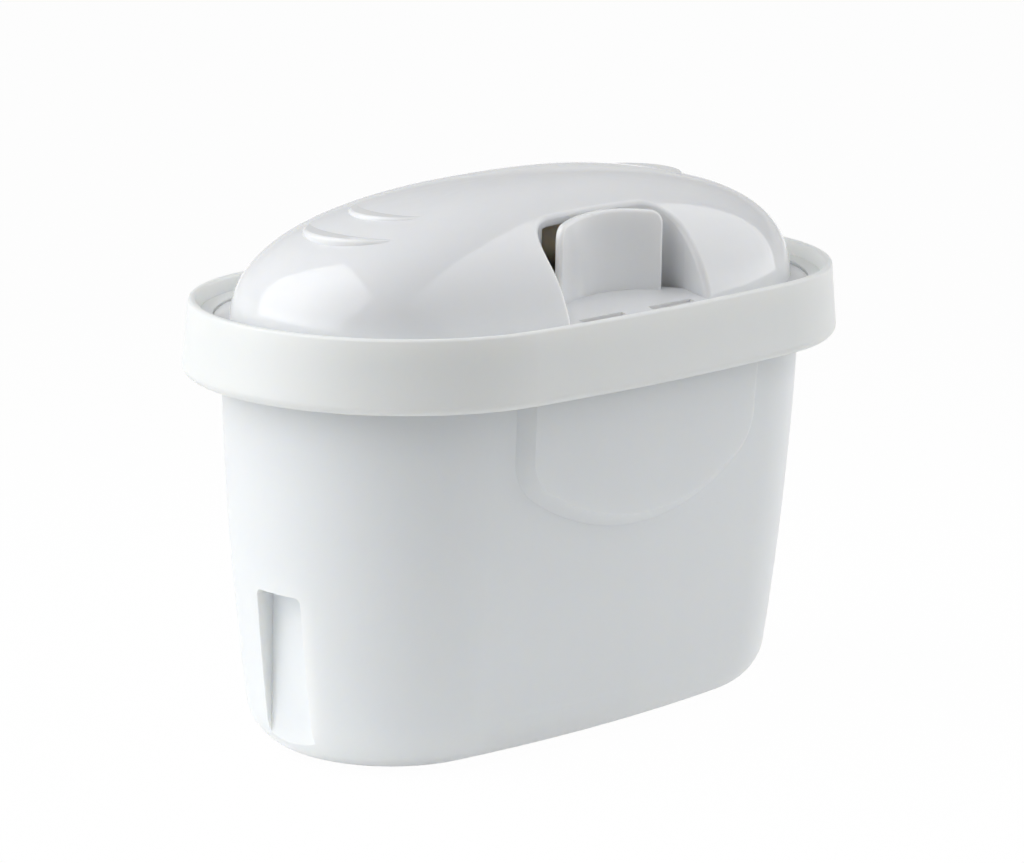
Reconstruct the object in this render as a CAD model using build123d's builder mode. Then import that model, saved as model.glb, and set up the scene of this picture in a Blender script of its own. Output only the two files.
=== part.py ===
from build123d import *
import math
import os

# Filter cartridge of a water pitcher: an oval cup of filter granules between two screens,
# a domed lid with two finger recesses, and a collar that hangs in the pitcher's funnel.
# Millimetres. X runs along the oval, Y across it, Z up from the base that it stands on.

# Collar
rim_length = 108.0
rim_width = 61.8
rim_height = 10.4
rim_flare = 0.9
rim_lip = 1.0
rim_wall = 1.6
rim_end_share = 0.967
rim_top_round = 0.45
rim_low_round = 1.2
shelf_drop = 2.0
shelf_fall = 0.25
shelf_width = 1.8
shelf_thickness = 1.8

# Cup
cup_height = 52.9
cup_wall = 1.5
cup_end_share = 0.93
skirt_gap = 4.4
end_taper = 4.75
side_taper = 5.05
end_bulge = 0.9
side_bulge = 0.5
base_round = 7.5
base_recess = 0.8
foot_width = 3.0
flange_thickness = 1.5
flange_clearance = 0.2

# Raised panel on each long side of the cup
panel_width = 45.6
panel_bottom = 31.8
panel_sag = 9.6
panel_corner = 7.0
panel_height = 1.35
panel_slope = 54
panel_root = 2.5

# Slot at each end of the cup
notch_top = 25.0
notch_width = 8.5
notch_spread = 0.2
notch_inset = 0.4
notch_round = 0.9

# Outlet slots through the base
outlet_count = 11
outlet_rows = 2
outlet_pitch = 5.0
outlet_row_pitch = 9.0
outlet_length = 7.0
outlet_width = 1.6

# Filling
screen_thickness = 0.6
screen_margin = 2.5
bed_drop = 9.0
bed_clearance = 0.2

# Lid
lid_wall = 1.2
gutter_width = 5.25
dome_rise = 14.8
dome_levels = 12
dome_cap_share = 0.985
dome_end_flat = 3.06
dome_end_round = 2.09
dome_side_flat = 1.62
dome_side_round = 2.46
dome_length_pull = 0.777
dome_width_pull = 0.627
lid_clearance = 0.1
skirt_depth = 2.7

# Finger recess in each long side of the dome
recess_width = 28.0
recess_depth = 10.65
recess_corner = 5.0
recess_round = 0.8
window_width = 21.0
floor_drop = 0.1
floor_fall = 1.75
plate_width = 21.2
plate_radius = 22.5
plate_thickness = 1.2
plate_gap = 0.4
plate_drop = 3.3
plate_arch = 0.9
plate_corner = 2.0
plate_round = 0.45
plate_root = 0.3
slot_length = 8.8
slot_spacing = 14.2
slot_width = 1.0
slot_inset = 1.8

# Crescent ripples near both ends of the dome
ripple_insets = (8.9, 16.8)
ripple_radii = (9.3, 7.2)
ripple_width = 2.95
ripple_round = 0.5

# Levels
z_rim_top = cup_height + rim_height
z_shelf = z_rim_top - shelf_drop
z_flange = z_shelf - shelf_thickness
z_gutter = z_flange + lid_wall
z_crown = z_rim_top + dome_rise
z_skirt = z_flange - skirt_depth
z_screen = z_skirt - screen_thickness
z_floor = base_recess + cup_wall
z_bed = z_floor + screen_thickness
z_bed_top = z_screen - bed_drop

# Half sizes: the collar's top outline, the cup's mouth and base, the dome's foot
rim_a = rim_length / 2 - rim_flare
rim_b = rim_width / 2 - rim_flare
rim_r = rim_end_share * rim_width / 2 - rim_flare
mouth_a = rim_a - skirt_gap
mouth_b = rim_b - skirt_gap
dome_a = rim_a - gutter_width
dome_b = rim_b - gutter_width
lip_y = dome_b - recess_depth
plate_front = lip_y + plate_gap + plate_thickness
foot_a = mouth_a - end_taper - base_round - foot_width
foot_b = mouth_b - side_taper - base_round - foot_width
notch_back = mouth_a - end_taper - notch_inset
far = rim_length


def oval(half_length, half_width, end_radius):
    """Closed line of four tangent arcs: two at the ends, two along the sides."""
    reach = half_length - end_radius
    side = (reach**2 + half_width**2 - end_radius**2) / (2 * (half_width - end_radius))
    turn = math.degrees(math.atan2(side - half_width, reach))
    CenterArc((reach, 0), end_radius, -turn, 2 * turn)
    CenterArc((0, half_width - side), side, turn, 180 - 2 * turn)
    CenterArc((-reach, 0), end_radius, 180 - turn, 2 * turn)
    CenterArc((0, side - half_width), side, 180 + turn, 180 - 2 * turn)


def rim_level(z, inset):
    """The collar's top outline at a height, moved inwards."""
    with BuildSketch(Plane.XY.offset(z)) as level:
        with BuildLine():
            oval(rim_a - inset, rim_b - inset, rim_r - inset)
        make_face()
    return level.sketch


def cup_size(z):
    """Half length and half width of the cup at a height, with its bulge."""
    share = min(z / cup_height, 1)
    bump = 4 * share * (1 - share)
    half_length = mouth_a - end_taper * (1 - share) + end_bulge * bump
    half_width = mouth_b - side_taper * (1 - share) + side_bulge * bump
    return half_length, half_width


def cup_level(z, growth):
    """The cup's outline at a height, moved outwards by the growth."""
    half_length, half_width = cup_size(z)
    end_radius = half_width * cup_end_share
    with BuildSketch(Plane.XY.offset(z)) as level:
        with BuildLine():
            oval(half_length + growth, half_width + growth, end_radius + growth)
        make_face()
    return level.sketch


def cup_form(z_low, z_high, growth, low_round=0.0):
    """The cup's form between two heights, straight above the collar's lower edge."""
    z_taper = min(cup_height, z_high)
    with BuildPart() as form:
        loft([cup_level(z, growth) for z in (z_low, (z_low + z_taper) / 2, z_taper)])
        if low_round:
            fillet(form.edges().group_by(Axis.Z)[0], low_round)
        if z_high > cup_height:
            extrude(cup_level(cup_height, growth), z_high - cup_height)
    return form.part


def notch_form(growth):
    """The slots at both ends, grown on every side for the wall round them."""
    top = notch_top + growth
    half_top = notch_width / 2 + growth
    half_low = half_top + notch_spread / 2
    with BuildPart() as form:
        with BuildSketch(Plane.YZ.offset(notch_back - growth)) as outline:
            with BuildLine():
                Polyline(
                    (-half_low, -growth),
                    (half_low, -growth),
                    (half_top, top),
                    (-half_top, top),
                    close=True,
                )
            make_face()
            fillet(outline.vertices().group_by(Axis.Y)[-1], notch_round + growth)
        extrude(amount=far)
        mirror(about=Plane.YZ)
    return form.part


def panel_form(growth, wall_inside):
    """The cup's form inside the U outline of its sloped side panels, or that of the room inside their walls."""
    low_y = cup_size(panel_bottom)[1]
    lean = math.atan2(mouth_b - low_y, cup_height - panel_bottom)
    wall = Plane((0, -low_y, panel_bottom), (1, 0, 0), (0, -math.cos(lean), -math.sin(lean)))
    slope = math.radians(panel_slope)
    margin = wall_inside / math.cos(slope) - panel_root * math.tan(slope)
    half = panel_width / 2 - margin
    low_radius = (panel_width**2 / 4 + panel_sag**2) / (2 * panel_sag) - margin
    corner = margin + low_radius - math.sqrt(low_radius**2 - half**2)
    with BuildPart() as form:
        with BuildSketch(wall.offset(-panel_root)) as outline:
            with BuildLine():
                Polyline((half, corner), (half, cup_height), (-half, cup_height), (-half, corner))
                ThreePointArc((-half, corner), (0, margin), (half, corner))
            make_face()
            fillet(outline.vertices().group_by(Axis.Y)[0], panel_corner - margin)
        extrude(amount=panel_root + panel_height + side_bulge, taper=panel_slope)
        mirror(about=Plane.XZ)
        add(cup_form(0, z_flange - flange_thickness, growth), mode=Mode.INTERSECT)
    return form.part


def dome_level(z, half_length, half_width):
    """Closed outline of four curves, one in each quarter, full at the ends and flat at the sides."""
    pull_x = dome_length_pull * half_length
    pull_y = dome_width_pull * half_width
    with BuildSketch(Plane.XY.offset(z)) as level:
        with BuildLine():
            for x, y in ((1, 1), (-1, 1), (-1, -1), (1, -1)):
                Bezier(
                    (x * half_length, 0),
                    (x * half_length, y * pull_y),
                    (x * pull_x, y * half_width),
                    (0, y * half_width),
                )
        make_face()
    return level.sketch


def dome_form(growth):
    """The dome from the lid's underside to the crown, moved outwards by the growth."""
    height = z_crown + growth - z_flange
    levels = []
    for step in range(dome_levels + 1):
        turn = step / dome_levels * dome_cap_share * math.pi / 2
        share = math.sin(turn) ** (2 / dome_end_flat)
        half_length = (dome_a + growth) * math.cos(turn) ** (2 / dome_end_round)
        half_width = (dome_b + growth) * (1 - share**dome_side_flat) ** (1 / dome_side_round)
        levels.append(dome_level(z_flange + share * height, half_length, half_width))
    with BuildPart() as form:
        loft(levels)
    return form.part


def floor_z(y):
    """Height of the recess floor at a distance from the middle plane."""
    return z_rim_top - floor_drop - floor_fall * (y - plate_front) / (dome_b - plate_front)


def recess_form(growth):
    """Upright prisms of both finger recesses, grown on every side for the wall round them."""
    with BuildPart() as form:
        with BuildSketch(Plane.XY.offset(z_flange)):
            for side in (1, -1):
                with Locations((0, side * (lip_y - growth + far / 2))):
                    RectangleRounded(recess_width + 2 * growth, far, recess_corner + growth)
        extrude(amount=far)
    return form.part


def is_recess_lip(edge):
    """True for the edges where a finger recess cuts the dome's outer face."""
    centre = edge.center()
    beside = abs(centre.X) < recess_width / 2 + lid_wall and abs(centre.Y) > lip_y - lid_wall
    return beside and centre.Z > z_gutter and edge.geom_type != GeomType.LINE


# Finger plate's side edge, foot and top
plate_edge = plate_front + plate_radius - math.sqrt(plate_radius**2 - (plate_width / 2) ** 2)
plate_foot = floor_z(plate_edge) - plate_root
plate_top = z_crown - plate_drop

# Collar
with BuildPart() as collar:
    with BuildLine() as rim_path:
        oval(rim_a, rim_b, rim_r)
    root = rim_wall - rim_flare * (z_rim_top - z_flange) / rim_height
    with BuildSketch(Plane.XZ) as section:
        with BuildLine():
            Polyline(
                (rim_a, z_rim_top),
                (rim_a + rim_flare, cup_height),
                (rim_a + rim_flare - rim_wall, cup_height),
                (rim_a - root, z_flange),
                (rim_a - rim_wall - shelf_width, z_flange),
                (rim_a - rim_wall - shelf_width, z_shelf - shelf_fall),
                (rim_a - rim_wall, z_shelf),
                (rim_a - rim_lip, z_rim_top),
                close=True,
            )
        make_face()
        fillet(section.vertices().group_by(Axis.Y)[-1], rim_top_round)
        fillet(section.vertices().group_by(Axis.Y)[0].sort_by(Axis.X)[-1], rim_low_round)
    sweep(path=rim_path.wires()[0])

# Room inside the cup, round the end slots and into the panels
with BuildPart() as room:
    add(cup_form(z_floor, z_rim_top, -cup_wall, base_round - cup_wall))
    add(panel_form(panel_height - cup_wall, cup_wall))
    add(notch_form(cup_wall), mode=Mode.SUBTRACT)

# Cup
with BuildPart() as cup:
    add(cup_form(0, z_flange, 0, base_round))
    extrude(rim_level(z_flange - flange_thickness, rim_wall + flange_clearance), flange_thickness)
    add(panel_form(panel_height, 0))
    add(notch_form(0), mode=Mode.SUBTRACT)
    with BuildSketch():
        SlotOverall(2 * foot_a, 2 * foot_b)
    extrude(amount=base_recess, mode=Mode.SUBTRACT)
    add(room.part, mode=Mode.SUBTRACT)
    with BuildSketch():
        with GridLocations(outlet_pitch, outlet_row_pitch, outlet_count, outlet_rows):
            SlotOverall(outlet_length, outlet_width, rotation=90)
    extrude(amount=z_floor, mode=Mode.SUBTRACT)

# Screen over the outlet slots
with BuildPart() as outlet_screen:
    with BuildSketch(Plane.XY.offset(z_floor)):
        SlotOverall(2 * (foot_a + screen_margin), 2 * (foot_b + screen_margin))
    extrude(amount=screen_thickness)

# Filter granules, as one bed
with BuildPart() as granule_bed:
    add(cup_form(z_bed, z_bed_top, -cup_wall - bed_clearance, base_round - cup_wall))
    add(notch_form(cup_wall + bed_clearance), mode=Mode.SUBTRACT)

# Screen under the lid
with BuildPart() as inlet_screen:
    add(cup_level(z_screen, -cup_wall - lid_clearance))
    extrude(amount=screen_thickness)

# Ripples: round terraces that stand level where the dome falls away
with BuildPart() as ripples:
    for inset, radius in zip(ripple_insets, ripple_radii):
        apex = dome_a - inset
        reach = (apex - ripple_width) / dome_a
        rise = (z_crown - z_flange) * (1 - reach**dome_end_round) ** (1 / dome_end_flat)
        with BuildSketch(Plane.XY.offset(z_flange)):
            with Locations((apex - radius, 0), (radius - apex, 0)):
                Circle(radius)
        extrude(amount=rise)
        fillet(ripples.edges().filter_by_position(Axis.Z, z_flange + rise, z_flange + rise), ripple_round)

# Hollow under the dome, with the walls of the recesses left standing beside their windows
with BuildPart() as recess_walls:
    add(recess_form(lid_wall))
    with BuildSketch(Plane.XY.offset(z_flange)):
        Rectangle(window_width, 2 * far)
    extrude(amount=far, mode=Mode.SUBTRACT)

with BuildPart() as hollow:
    add(dome_form(-lid_wall))
    add(recess_walls.part, mode=Mode.SUBTRACT)

# Outlines of the lid's flange in the gutter and of its skirt inside the cup's mouth
with BuildSketch(Plane.XY.offset(z_flange)) as flange_level:
    add(rim_level(z_flange, rim_wall + shelf_width + lid_clearance))
    add(dome_level(z_flange, dome_a - lid_wall, dome_b - lid_wall), mode=Mode.SUBTRACT)

with BuildSketch(Plane.XY.offset(z_skirt)) as skirt_level:
    add(cup_level(z_skirt, -cup_wall - lid_clearance))
    add(cup_level(z_skirt, -cup_wall - lid_clearance - lid_wall), mode=Mode.SUBTRACT)

# Floor of the front finger recess, which falls from the plate to the gutter, with two slots
with BuildPart() as recess_floor:
    with BuildSketch(Plane.YZ):
        with BuildLine():
            Polyline(
                (-lip_y, floor_z(lip_y)),
                (-dome_b, floor_z(dome_b)),
                (-dome_b, floor_z(dome_b) - lid_wall),
                (-lip_y, floor_z(lip_y) - lid_wall),
                close=True,
            )
        make_face()
    extrude(amount=(recess_width + lid_wall) / 2, both=True)
    with BuildSketch(Plane.XY.offset(z_flange)):
        with Locations((0, -plate_front - plate_radius)):
            Circle(plate_radius + plate_thickness)
    extrude(amount=far, mode=Mode.INTERSECT)
    extrude(dome_level(z_flange, dome_a, dome_b), far, mode=Mode.INTERSECT)
    with BuildSketch(Plane.XY.offset(z_flange)):
        with Locations((-slot_spacing / 2, slot_inset - dome_b), (slot_spacing / 2, slot_inset - dome_b)):
            Rectangle(slot_length, slot_width)
    extrude(amount=far, mode=Mode.SUBTRACT)

# Finger plate of the front recess: curved in plan, arched at the top, its outline rounded
with BuildPart() as plate:
    with BuildSketch(Plane.XY.offset(plate_foot)):
        with Locations((0, -plate_front - plate_radius)):
            Circle(plate_radius + plate_thickness)
            Circle(plate_radius, mode=Mode.SUBTRACT)
        with Locations((0, -plate_front)):
            Rectangle(2 * plate_radius, plate_radius, mode=Mode.INTERSECT)
    extrude(amount=far)
    with BuildSketch(Plane.XZ) as outline:
        with BuildLine():
            Polyline(
                (plate_width / 2, plate_top - plate_arch),
                (plate_width / 2, plate_foot),
                (-plate_width / 2, plate_foot),
                (-plate_width / 2, plate_top - plate_arch),
            )
            ThreePointArc(
                (-plate_width / 2, plate_top - plate_arch),
                (0, plate_top),
                (plate_width / 2, plate_top - plate_arch),
            )
        make_face()
        fillet(outline.vertices().group_by(Axis.Y)[-1], plate_corner)
    extrude(amount=far, both=True, mode=Mode.INTERSECT)
    outlines = plate.edges().filter_by(Axis.Y, reverse=True).filter_by_position(Axis.Z, z_rim_top, z_crown)
    fillet(outlines, plate_round)

# Lid
with BuildPart() as lid:
    add(dome_form(0))
    add(ripples.part)
    add(recess_form(0), mode=Mode.SUBTRACT)
    fillet(lid.edges().filter_by(is_recess_lip), recess_round)
    add(hollow.part, mode=Mode.SUBTRACT)
    extrude(flange_level.sketch, lid_wall)
    extrude(skirt_level.sketch, skirt_depth)
    for piece in (recess_floor, plate):
        add(piece.part)
        add(mirror(piece.part, about=Plane.XZ, mode=Mode.PRIVATE))

os.makedirs("parts", exist_ok=True)
pieces = {
    "collar": collar,
    "cup": cup,
    "outlet_screen": outlet_screen,
    "granule_bed": granule_bed,
    "inlet_screen": inlet_screen,
    "lid": lid,
}
for name, piece in pieces.items():
    piece.part.label = name
    export_step(piece.part, f"parts/{name}.step")
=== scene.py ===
"""Finishes, stage and camera for the oval filter cartridge of a water pitcher."""

import math

import bpy
from mathutils import Matrix, Vector


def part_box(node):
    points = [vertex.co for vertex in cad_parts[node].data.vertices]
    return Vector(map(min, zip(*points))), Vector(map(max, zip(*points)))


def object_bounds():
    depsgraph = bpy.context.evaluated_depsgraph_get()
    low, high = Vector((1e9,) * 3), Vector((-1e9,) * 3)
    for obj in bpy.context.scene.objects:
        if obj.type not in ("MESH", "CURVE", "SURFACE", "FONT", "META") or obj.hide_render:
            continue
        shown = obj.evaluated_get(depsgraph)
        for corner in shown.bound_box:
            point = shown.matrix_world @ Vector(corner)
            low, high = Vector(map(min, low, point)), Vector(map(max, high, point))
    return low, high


bl_info = {
    "name": "Pitcher filter cartridge",
    "version": (1, 0, 0),
    "blender": (4, 5, 0),
    "location": "View3D > Sidebar > Cartridge",
    "description": "Moulded plastic finishes, screens, granules and a pale studio for a filter cartridge",
    "category": "Object",
}

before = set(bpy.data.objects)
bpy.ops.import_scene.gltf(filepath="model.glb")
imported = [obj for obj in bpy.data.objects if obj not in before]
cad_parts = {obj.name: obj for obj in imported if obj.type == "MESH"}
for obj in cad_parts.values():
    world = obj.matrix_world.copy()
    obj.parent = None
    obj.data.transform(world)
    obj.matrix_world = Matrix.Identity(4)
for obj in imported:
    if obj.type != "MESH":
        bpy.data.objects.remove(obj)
cad_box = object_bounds()
LID_HEIGHT = cad_box[1][2]

# Moulded plastic, lengths in metres

CLOUD_SIZE = 0.030
CLOUD_DETAIL = 3.0
STREAK_SIZE = 0.004
STREAK_DETAIL = 2.0
STREAK_STRETCH = (1, 1, 0.06)
CLOUD_SHARE = 0.6
STREAK_SHARE = 0.4
COOL_TINT = (0.955, 0.97, 0.98)
PIT_SIZE = 0.0009
PIT_DETAIL = 1.0
SPECK_SPACING = 0.006
SPECK_FINENESS = 28
SPECK_SHADE = 0.8
SPECK_STRENGTH = 0.10
SKIN_POLISH = 0.86
SKIN_CLOUDS = 0.18
SKIN_PITS = 0.12
SKIN_SPECKS = 0.10
WAVE_SIZE = 0.011
WAVE_DETAIL = 1.0
PLASTIC_IOR = 1.49
GLOW_REACH = (1.0, 0.86, 0.66)

# Woven screens

THREAD_SHADE_SIZE = 0.003
THREAD_SHADE_DETAIL = 2.0
THREAD_SHADE_SHARE = 0.35
THREAD_SHADE = 0.6
CROSSING_RISE = 0.4
THREAD_RISE = 0.25
THREAD_ROUGHNESS = 0.75
THREAD_ROUGHNESS_SPREAD = 0.15

# Granules

CARBON_SHARE = 0.55
CARBON_SHADE = 0.5
GRANULE_SHADE_SHARE = 0.5
GRANULE_RISE = 0.8
CARBON_ROUGHNESS = 0.85
BEAD_POLISH = 0.45

# Studio, lengths in metres and angles in degrees

LAMP_DISTANCE = 0.6
LAMP_POWER = 1.0
LEFT_SOFTBOX = {"azimuth": -120, "elevation": 35, "shift": (0.11, 0.02), "size": (0.96, 1.04)}
RIGHT_SOFTBOX = {"azimuth": 45, "elevation": 28, "shift": (0.0, 0.017), "size": (1.20, 0.826)}
FLOOR_SIZE = 8
FLOOR_GRAIN = 0.02
FLOOR_GRAIN_DETAIL = 2.0
FLOOR_GRAIN_SHADE = 0.98
BACKDROP_TOP = 0.12
BACKDROP_FADED = 0.2
SENSOR_WIDTH = 36
NEAREST_SEEN = 0.01

# Colour sockets of the Mix node, whose names repeat

MIX_FIRST = 6
MIX_SECOND = 7
MIX_RESULT = 2


# Shader maths


class Value:
    """A number from a node, which Python's operators turn into Math nodes."""

    def __init__(self, finish, socket):
        self.finish = finish
        self.socket = socket

    def math(self, operation, *values):
        return self.finish.node("ShaderNodeMath", {"operation": operation}, dict(enumerate(values)))

    def __add__(self, other):
        return self.math("ADD", self, other)

    def __radd__(self, other):
        return self.math("ADD", other, self)

    def __sub__(self, other):
        return self.math("SUBTRACT", self, other)

    def __rsub__(self, other):
        return self.math("SUBTRACT", other, self)

    def __mul__(self, other):
        return self.math("MULTIPLY", self, other)

    def __rmul__(self, other):
        return self.math("MULTIPLY", other, self)

    def __pow__(self, other):
        return self.math("POWER", self, other)

    def __abs__(self):
        return self.math("ABSOLUTE", self)

    def sine(self):
        return self.math("SINE", self)

    def above(self, limit):
        return self.math("GREATER_THAN", self, limit)

    def larger(self, other):
        return self.math("MAXIMUM", self, other)

    def smaller(self, other):
        return self.math("MINIMUM", self, other)


class Finish:
    """The nodes of a material, a lamp or the world, added one call at a time."""

    def __init__(self, tree, output="ShaderNodeOutputMaterial"):
        self.tree = tree
        self.tree.nodes.clear()
        self.output = self.tree.nodes.new(output)

    def node(self, kind, settings=None, inputs=None, output=0):
        """Adds a node, sets it up, fills its sockets and returns one of its outputs."""
        made = self.tree.nodes.new(kind)
        for name, value in (settings or {}).items():
            if name == "stops":
                for stop, (place, colour) in zip(self.stops(made, len(value)), value):
                    stop.position = place
                    stop.color = colour
            else:
                setattr(made, name, value)
        for name, value in (inputs or {}).items():
            if isinstance(value, Value):
                self.tree.links.new(value.socket, made.inputs[name])
            else:
                made.inputs[name].default_value = value
        return Value(self, made.outputs[output])

    def stops(self, ramp, count):
        """The ramp's stops, with as many as asked for."""
        elements = ramp.color_ramp.elements
        while len(elements) < count:
            elements.new(1.0)
        return elements

    def place(self, stretch=(1, 1, 1)):
        """Object coordinates in metres, stretched for a pattern."""
        coords = self.node("ShaderNodeTexCoord", output="Object")
        return self.node("ShaderNodeMapping", {}, {"Vector": coords, "Scale": stretch})

    def noise(self, size, detail, place=None):
        """Soft noise between 0 and 1 with features of about the given size in metres."""
        inputs = {"Vector": place or self.place(), "Scale": 1 / size, "Detail": detail}
        return self.node("ShaderNodeTexNoise", {}, inputs, "Fac")

    def mix(self, share, first, second):
        """A colour between two colours."""
        inputs = {"Factor": share, MIX_FIRST: first, MIX_SECOND: second}
        return self.node("ShaderNodeMix", {"data_type": "RGBA"}, inputs, MIX_RESULT)

    def fade(self, value, start, end, first=0.0, last=1.0):
        """Goes from one level to another while a value goes from its start to its end."""
        inputs = {"Value": value, "From Min": start, "From Max": end, "To Min": first, "To Max": last}
        return self.node("ShaderNodeMapRange", {}, inputs)

    def bump(self, height, depth, below=None):
        """A bump of the given depth in metres, on top of another."""
        inputs = {"Height": height, "Distance": depth, "Strength": 1.0}
        if below:
            inputs["Normal"] = below
        return self.node("ShaderNodeBump", {}, inputs)

    def show(self, shader):
        self.tree.links.new(shader.socket, self.output.inputs["Surface"])


def new_finish(name):
    """A new material and its nodes."""
    material = bpy.data.materials.new(name)
    material.use_nodes = True
    return material, Finish(material.node_tree)


def rgba(colour):
    return (*colour, 1.0)


def grey(level):
    return (level, level, level, 1.0)


def shaded(colour, share):
    return tuple(part * share for part in colour)


def moulded_plastic(name, colour, roughness, grain, ripple, glow, glow_depth):
    """Injection-moulded plastic: faint clouding and flow streaks, fine grain from the tool, a wavy skin."""
    material, finish = new_finish(name)
    clouds = finish.noise(CLOUD_SIZE, CLOUD_DETAIL)
    streaks = finish.noise(STREAK_SIZE, STREAK_DETAIL, finish.place(STREAK_STRETCH))
    pits = finish.noise(PIT_SIZE, PIT_DETAIL)
    cells = {"Vector": finish.place(), "Scale": 1 / SPECK_SPACING}
    specks = finish.node("ShaderNodeTexVoronoi", {}, cells, "Distance")
    dust = 1 - (specks * SPECK_FINENESS).smaller(1.0)
    tone = clouds * CLOUD_SHARE + streaks * STREAK_SHARE
    cool = tuple(part * tint for part, tint in zip(colour, COOL_TINT))
    base = finish.mix(tone, rgba(cool), rgba(colour))
    base = finish.mix(dust * SPECK_STRENGTH, base, rgba(shaded(colour, SPECK_SHADE)))
    skin = roughness * SKIN_POLISH + clouds * roughness * SKIN_CLOUDS
    skin = skin + pits * roughness * SKIN_PITS + dust * SKIN_SPECKS
    wave = finish.bump(finish.noise(WAVE_SIZE, WAVE_DETAIL), ripple)
    tool = finish.bump(pits, grain, below=wave)
    shader = finish.node(
        "ShaderNodeBsdfPrincipled",
        {},
        {
            "Base Color": base,
            "Roughness": skin,
            "Normal": tool,
            "IOR": PLASTIC_IOR,
            "Subsurface Weight": glow,
            "Subsurface Radius": GLOW_REACH,
            "Subsurface Scale": glow_depth,
        },
    )
    finish.show(shader)
    return material


def woven_screen(name, thread, gap_shade, pitch):
    """Plain weave: threads along X and Y that pass over and under each other, with painted shade between
    them.
    """
    material, finish = new_finish(name)
    along = finish.node("ShaderNodeSeparateXYZ", {}, {0: finish.place()}, "X")
    across = Value(finish, along.socket.node.outputs["Y"])
    step = 2 * math.pi / pitch
    warp = (along * step).sine()
    weft = (across * step).sine()
    over = (along * (step / 2)).sine() * (across * (step / 2)).sine()
    height = abs(warp).larger(abs(weft))
    shade = finish.noise(THREAD_SHADE_SIZE, THREAD_SHADE_DETAIL)
    # Painted shade: each thread darkens towards the gap colour where it dips, and the openings between
    # threads are painted dark
    base = finish.mix(height ** 2, rgba(gap_shade), rgba(thread))
    base = finish.mix(shade * THREAD_SHADE_SHARE, base, rgba(shaded(thread, THREAD_SHADE)))
    weave = finish.bump(height + over * CROSSING_RISE, pitch * THREAD_RISE)
    rough = THREAD_ROUGHNESS + shade * THREAD_ROUGHNESS_SPREAD
    inputs = {"Base Color": base, "Roughness": rough, "Normal": weave}
    finish.show(finish.node("ShaderNodeBsdfPrincipled", {}, inputs))
    return material


def filter_granules(name, carbon, resin, grain):
    """Packed grains: matt black carbon chips among glossier amber beads of resin."""
    material, finish = new_finish(name)
    cells = {"Vector": finish.place(), "Scale": 1 / grain}
    far = finish.node("ShaderNodeTexVoronoi", {}, cells, "Distance")
    pick = finish.node("ShaderNodeTexVoronoi", {}, cells, "Color")
    kind = finish.node("ShaderNodeSeparateColor", {}, {0: pick}, 0)
    bead = kind.above(CARBON_SHARE)
    light = finish.node("ShaderNodeSeparateColor", {}, {0: pick}, 1)
    base = finish.mix(bead, rgba(carbon), rgba(resin))
    base = finish.mix(light * GRANULE_SHADE_SHARE, base, rgba(shaded(carbon, CARBON_SHADE)))
    pile = finish.bump(1 - far, grain * GRANULE_RISE)
    rough = CARBON_ROUGHNESS - bead * BEAD_POLISH
    inputs = {"Base Color": base, "Roughness": rough, "Normal": pile}
    finish.show(finish.node("ShaderNodeBsdfPrincipled", {}, inputs))
    return material


# Directions and dressing


def directions(azimuth, elevation):
    """Unit vectors from the object to a viewer, to the viewer's right and up."""
    flat = math.cos(elevation)
    back = Vector((math.sin(azimuth) * flat, -math.cos(azimuth) * flat, math.sin(elevation)))
    level = Vector((math.cos(azimuth), math.sin(azimuth), 0))
    return back, level, back.cross(level)


def dress(piece, material):
    piece.data.materials.clear()
    piece.data.materials.append(material)


# Settings


def colour_setting(name, about, default):
    return bpy.props.FloatVectorProperty(
        name=name, description=about, subtype="COLOR", size=3, min=0, max=1, default=default
    )


def length_setting(name, about, default):
    return bpy.props.FloatProperty(
        name=name, description=about, subtype="DISTANCE", unit="LENGTH", precision=5, default=default
    )


def share_setting(name, about, default):
    return bpy.props.FloatProperty(
        name=name, description=about, subtype="FACTOR", min=0, max=1, default=default
    )


def angle_setting(name, about, degrees):
    return bpy.props.FloatProperty(
        name=name, description=about, subtype="ANGLE", unit="ROTATION", default=math.radians(degrees)
    )


def levels_setting(name, about, default):
    return bpy.props.FloatVectorProperty(name=name, description=about, size=4, min=0, default=default)


class CartridgeFinishes(bpy.types.PropertyGroup):
    """Colours and textures of the cartridge's pieces."""

    lid_colour: colour_setting("Lid colour", "Glossy white of the domed lid", (0.860, 0.860, 0.864))
    lid_roughness: share_setting("Lid roughness", "How blurred reflections on the lid are", 0.07)
    lid_glow: share_setting("Lid glow", "Share of light that enters the lid's plastic", 0.45)
    lid_glow_depth: length_setting("Lid glow depth", "How far light travels in the lid", 0.003)
    collar_colour: colour_setting("Collar colour", "Neutral white of the collar", (0.822, 0.836, 0.829))
    collar_roughness: share_setting("Collar roughness", "How blurred reflections on the collar are", 0.34)
    collar_glow: share_setting("Collar glow", "Share of light that enters the collar's plastic", 0.35)
    collar_glow_depth: length_setting("Collar glow depth", "How far light travels in the collar", 0.0025)
    cup_colour: colour_setting("Cup colour", "Cool white of the cup", (0.855, 0.873, 0.872))
    cup_roughness: share_setting("Cup roughness", "How blurred reflections on the cup are", 0.30)
    cup_glow: share_setting("Cup glow", "Share of light that enters the cup's plastic", 0.5)
    cup_glow_depth: length_setting("Cup glow depth", "How far light travels in the cup", 0.0035)
    grain_depth: length_setting("Grain depth", "Depth of the fine grain that the tool leaves", 0.000004)
    ripple_depth: length_setting("Skin waviness", "Depth of the soft waves in the moulded skin", 0.00002)
    screen_colour: colour_setting("Screen colour", "Threads of the two screens", (0.66, 0.54, 0.42))
    # Painted shade for the openings between the screens' threads
    screen_gap_shade: colour_setting("Screen gaps", "Shade between the threads", (0.16, 0.125, 0.09))
    screen_pitch: length_setting("Screen pitch", "Distance between two threads of a screen", 0.0006)
    carbon_colour: colour_setting("Carbon colour", "Chips of carbon in the bed", (0.02, 0.018, 0.016))
    resin_colour: colour_setting("Resin colour", "Beads of resin in the bed", (0.55, 0.38, 0.16))
    grain_size: length_setting("Granule size", "Width of one granule", 0.0012)


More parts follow.
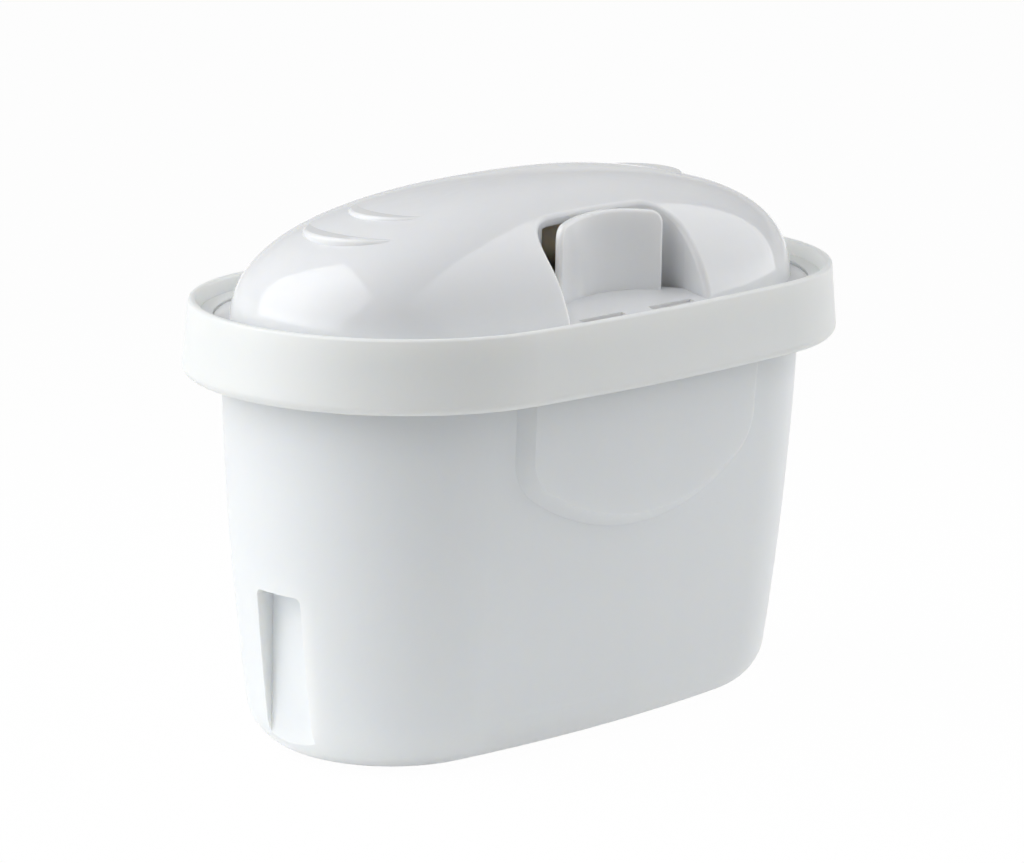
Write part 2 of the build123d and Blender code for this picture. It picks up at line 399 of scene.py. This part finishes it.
class CartridgeStage(bpy.types.PropertyGroup):
    """Camera and light of the studio."""

    azimuth: angle_setting("Azimuth", "Turn of the camera round the cartridge", -46.566)
    elevation: angle_setting("Elevation", "Height of the camera above the level", 12.614)
    roll: angle_setting("Roll", "Tilt of the camera about its own axis", 0.979)
    distance: length_setting("Distance", "From the aim point to the camera", 0.725108)
    aim_side: length_setting("Aim sideways", "Aim point right of the collar's centre", -0.000822)
    aim_drop: length_setting("Aim drop", "Aim point below the collar's top edge", 0.022006)
    collar_top: length_setting("Collar top", "Height of the collar's top edge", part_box("collar")[1][2])
    lens: bpy.props.FloatProperty(
        name="Lens", description="Focal length on a 36 mm wide sensor, in millimetres", default=179.783
    )
    left_levels: levels_setting("Left light", "Brightness across the left softbox", (5.8, 8.8, 5.8, 4.3))
    right_levels: levels_setting("Right light", "Brightness across the right softbox", (1.5, 3.8, 4.9, 3.7))
    room_level: share_setting("Room", "Level of the light from all round", 0.05)
    back_level: share_setting("Back light", "Level of the light from behind", 0.28)
    backdrop: share_setting("Backdrop", "Share of plain white in the floor that the camera sees", 0.98)
    sweep_reach: length_setting("Sweep reach", "From the centre to where the white starts to fade", 1.3)
    sweep_end: length_setting("Sweep end", "From the centre to where the white has faded", 1.9)
    far_level: share_setting("Far level", "Level of the backdrop far behind the cartridge", 0.6)
    table_colour: colour_setting("Table colour", "White table under the cartridge", (0.95, 0.95, 0.95))
    table_reach: length_setting("Table reach", "From the centre to where the table starts to darken", 0.10)
    floor_start: length_setting("Floor start", "From the centre to where the darker floor starts", 0.30)
    floor_colour: colour_setting("Floor colour", "Darker floor round the table", (0.25, 0.25, 0.25))


# Operators


class CARTRIDGE_OT_lid(bpy.types.Operator):
    """Gives the domed lid its glossy white finish"""

    bl_idname = "cartridge.lid"
    bl_label = "Lid"

    def execute(self, context):
        finishes = context.scene.cartridge_finishes
        material = moulded_plastic(
            "lid_gloss",
            finishes.lid_colour,
            finishes.lid_roughness,
            finishes.grain_depth,
            finishes.ripple_depth,
            finishes.lid_glow,
            finishes.lid_glow_depth,
        )
        dress(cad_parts["lid"], material)
        return {"FINISHED"}


class CARTRIDGE_OT_collar(bpy.types.Operator):
    """Gives the collar its neutral satin finish"""

    bl_idname = "cartridge.collar"
    bl_label = "Collar"

    def execute(self, context):
        finishes = context.scene.cartridge_finishes
        material = moulded_plastic(
            "collar_satin",
            finishes.collar_colour,
            finishes.collar_roughness,
            finishes.grain_depth,
            finishes.ripple_depth,
            finishes.collar_glow,
            finishes.collar_glow_depth,
        )
        dress(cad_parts["collar"], material)
        return {"FINISHED"}


class CARTRIDGE_OT_cup(bpy.types.Operator):
    """Gives the cup its cool satin finish"""

    bl_idname = "cartridge.cup"
    bl_label = "Cup"

    def execute(self, context):
        finishes = context.scene.cartridge_finishes
        material = moulded_plastic(
            "cup_satin",
            finishes.cup_colour,
            finishes.cup_roughness,
            finishes.grain_depth,
            finishes.ripple_depth,
            finishes.cup_glow,
            finishes.cup_glow_depth,
        )
        dress(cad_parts["cup"], material)
        return {"FINISHED"}


class CARTRIDGE_OT_screens(bpy.types.Operator):
    """Weaves the screens above and below the granules"""

    bl_idname = "cartridge.screens"
    bl_label = "Screens"

    def execute(self, context):
        finishes = context.scene.cartridge_finishes
        material = woven_screen(
            "screen_weave", finishes.screen_colour, finishes.screen_gap_shade, finishes.screen_pitch
        )
        for node in ("inlet_screen", "outlet_screen"):
            dress(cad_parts[node], material)
        return {"FINISHED"}


class CARTRIDGE_OT_granules(bpy.types.Operator):
    """Fills the bed with carbon chips and resin beads"""

    bl_idname = "cartridge.granules"
    bl_label = "Granules"

    def execute(self, context):
        finishes = context.scene.cartridge_finishes
        material = filter_granules(
            "granule_mix", finishes.carbon_colour, finishes.resin_colour, finishes.grain_size
        )
        dress(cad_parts["granule_bed"], material)
        return {"FINISHED"}


class CARTRIDGE_OT_stage(bpy.types.Operator):
    """Sets up the pale floor, the softboxes, the room light and the camera"""

    bl_idname = "cartridge.stage"
    bl_label = "Stage"

    def execute(self, context):
        settings = context.scene.cartridge_stage
        context.scene.view_settings.view_transform = "Standard"
        self.floor(settings)
        self.room(context, settings)
        self.softbox("left_softbox", settings.left_levels, **LEFT_SOFTBOX)
        self.softbox("right_softbox", settings.right_levels, **RIGHT_SOFTBOX)
        self.camera(context, settings)
        return {"FINISHED"}

    def seen_directly(self, finish):
        """1 for what the camera, a reflection or clear plastic sees, and 0 for rays that carry light."""
        camera = finish.node("ShaderNodeLightPath", output="Is Camera Ray")
        outputs = camera.socket.node.outputs
        glossy = Value(finish, outputs["Is Glossy Ray"])
        transmission = Value(finish, outputs["Is Transmission Ray"])
        return camera.larger(glossy).larger(transmission)

    def floor(self, settings):
        """A white table that darkens outwards, seen as plain white near the cartridge."""
        bpy.ops.object.select_all(action="DESELECT")
        bpy.ops.mesh.primitive_plane_add(size=FLOOR_SIZE, location=(0, 0, 0))
        floor = bpy.context.object
        floor.name = "floor"
        material, finish = new_finish("pale_floor")
        grain = finish.noise(FLOOR_GRAIN, FLOOR_GRAIN_DETAIL)
        dim = shaded(settings.table_colour, FLOOR_GRAIN_SHADE)
        paint = finish.mix(grain, rgba(dim), rgba(settings.table_colour))
        reach = finish.node("ShaderNodeVectorMath", {"operation": "LENGTH"}, {0: finish.place()}, "Value")
        outside = finish.fade(reach, settings.table_reach, settings.floor_start)
        paint = finish.mix(outside, paint, rgba(settings.floor_colour))
        matt = finish.node("ShaderNodeBsdfDiffuse", {}, {"Color": paint})
        faded = finish.fade(reach, settings.sweep_reach, settings.sweep_end)
        plain = finish.mix(faded, grey(1.0), grey(settings.far_level))
        white = finish.node("ShaderNodeEmission", {}, {"Color": plain, "Strength": 1.0})
        share = self.seen_directly(finish) * settings.backdrop
        finish.show(finish.node("ShaderNodeMixShader", {}, {0: share, 1: matt, 2: white}))
        dress(floor, material)

    def room(self, context, settings):
        """A dim room with more light from behind, and a pale backdrop above the floor's far edge."""
        world = bpy.data.worlds.new("pale_room")
        world.use_nodes = True
        finish = Finish(world.node_tree, "ShaderNodeOutputWorld")
        heading = finish.node("ShaderNodeTexCoord", output="Generated")
        away = -directions(settings.azimuth, 0)[0]
        product = {"operation": "DOT_PRODUCT"}
        behind = finish.node("ShaderNodeVectorMath", product, {0: heading, 1: away}, "Value").larger(0.0)
        brightest = settings.room_level + settings.back_level
        level = finish.mix(behind, grey(settings.room_level), grey(brightest))
        lit = finish.node("ShaderNodeBackground", {}, {"Color": level, "Strength": 1.0})
        pale = finish.node("ShaderNodeBackground", {}, {"Color": grey(settings.far_level), "Strength": 1.0})
        height = finish.node("ShaderNodeSeparateXYZ", {}, {0: heading}, "Z")
        low = finish.fade(height, BACKDROP_TOP, BACKDROP_FADED, 1.0, 0.0)
        share = low * self.seen_directly(finish)
        finish.show(finish.node("ShaderNodeMixShader", {}, {0: share, 1: lit, 2: pale}))
        context.scene.world = world

    def softbox(self, name, levels, azimuth, elevation, shift, size):
        """A rectangular lamp that faces the lid, moved in its plane, with levels from side to side."""
        towards, level, upright = directions(math.radians(azimuth), math.radians(elevation))
        light = bpy.data.lights.new(name, "AREA")
        light.shape = "RECTANGLE"
        light.size, light.size_y = size
        light.energy = LAMP_POWER
        light.use_nodes = True
        finish = Finish(light.node_tree, "ShaderNodeOutputLight")
        place = finish.node("ShaderNodeNewGeometry", output="Parametric")
        across = finish.node("ShaderNodeSeparateXYZ", {}, {0: place}, "X")
        brightest = max(levels)
        last = len(levels) - 1
        stops = [(step / last, grey(part / brightest)) for step, part in enumerate(levels)]
        fade = finish.node("ShaderNodeValToRGB", {"stops": stops}, {0: across})
        finish.show(finish.node("ShaderNodeEmission", {}, {"Color": fade, "Strength": brightest}))
        lamp = bpy.data.objects.new(name, light)
        centre = Vector((0, 0, LID_HEIGHT)) + LAMP_DISTANCE * towards
        centre = centre + shift[0] * level + shift[1] * upright
        turned = Matrix((level, upright, towards)).transposed().to_4x4()
        lamp.matrix_world = Matrix.Translation(centre) @ turned
        lamp.visible_camera = False
        bpy.context.collection.objects.link(lamp)

    def camera(self, context, settings):
        """The camera at the photograph's viewing angle, aimed below the collar's top edge."""
        back, level, upright = directions(settings.azimuth, settings.elevation)
        roll = settings.roll
        right = math.cos(roll) * level + math.sin(roll) * upright
        up = math.cos(roll) * upright - math.sin(roll) * level
        aim = settings.aim_side * right - settings.aim_drop * up + Vector((0, 0, settings.collar_top))
        turned = Matrix((right, up, back)).transposed().to_4x4()
        data = bpy.data.cameras.new("photo_camera")
        data.sensor_width = SENSOR_WIDTH
        data.lens = settings.lens
        data.clip_start = NEAREST_SEEN
        camera = bpy.data.objects.new("photo_camera", data)
        camera.matrix_world = Matrix.Translation(aim + back * settings.distance) @ turned
        bpy.context.collection.objects.link(camera)
        context.scene.camera = camera


class CARTRIDGE_PT_panel(bpy.types.Panel):
    """Lists the cartridge's settings and pieces"""

    bl_idname = "CARTRIDGE_PT_panel"
    bl_label = "Filter cartridge"
    bl_space_type = "VIEW_3D"
    bl_region_type = "UI"
    bl_category = "Cartridge"

    def draw(self, context):
        for group in (context.scene.cartridge_finishes, context.scene.cartridge_stage):
            box = self.layout.box()
            for name in group.__annotations__:
                box.prop(group, name)
        for piece in operators:
            self.layout.operator(piece.bl_idname)


operators = (
    CARTRIDGE_OT_lid,
    CARTRIDGE_OT_collar,
    CARTRIDGE_OT_cup,
    CARTRIDGE_OT_screens,
    CARTRIDGE_OT_granules,
    CARTRIDGE_OT_stage,
)
classes = (CartridgeFinishes, CartridgeStage, *operators, CARTRIDGE_PT_panel)


def register():
    for part in classes:
        bpy.utils.register_class(part)
    bpy.types.Scene.cartridge_finishes = bpy.props.PointerProperty(type=CartridgeFinishes)
    bpy.types.Scene.cartridge_stage = bpy.props.PointerProperty(type=CartridgeStage)


def unregister():
    del bpy.types.Scene.cartridge_stage
    del bpy.types.Scene.cartridge_finishes
    for part in reversed(classes):
        bpy.utils.unregister_class(part)


def main():
    register()
    bpy.ops.cartridge.lid()
    bpy.ops.cartridge.collar()
    bpy.ops.cartridge.cup()
    bpy.ops.cartridge.screens()
    bpy.ops.cartridge.granules()
    bpy.ops.cartridge.stage()


if __name__ == "__main__":
    main()
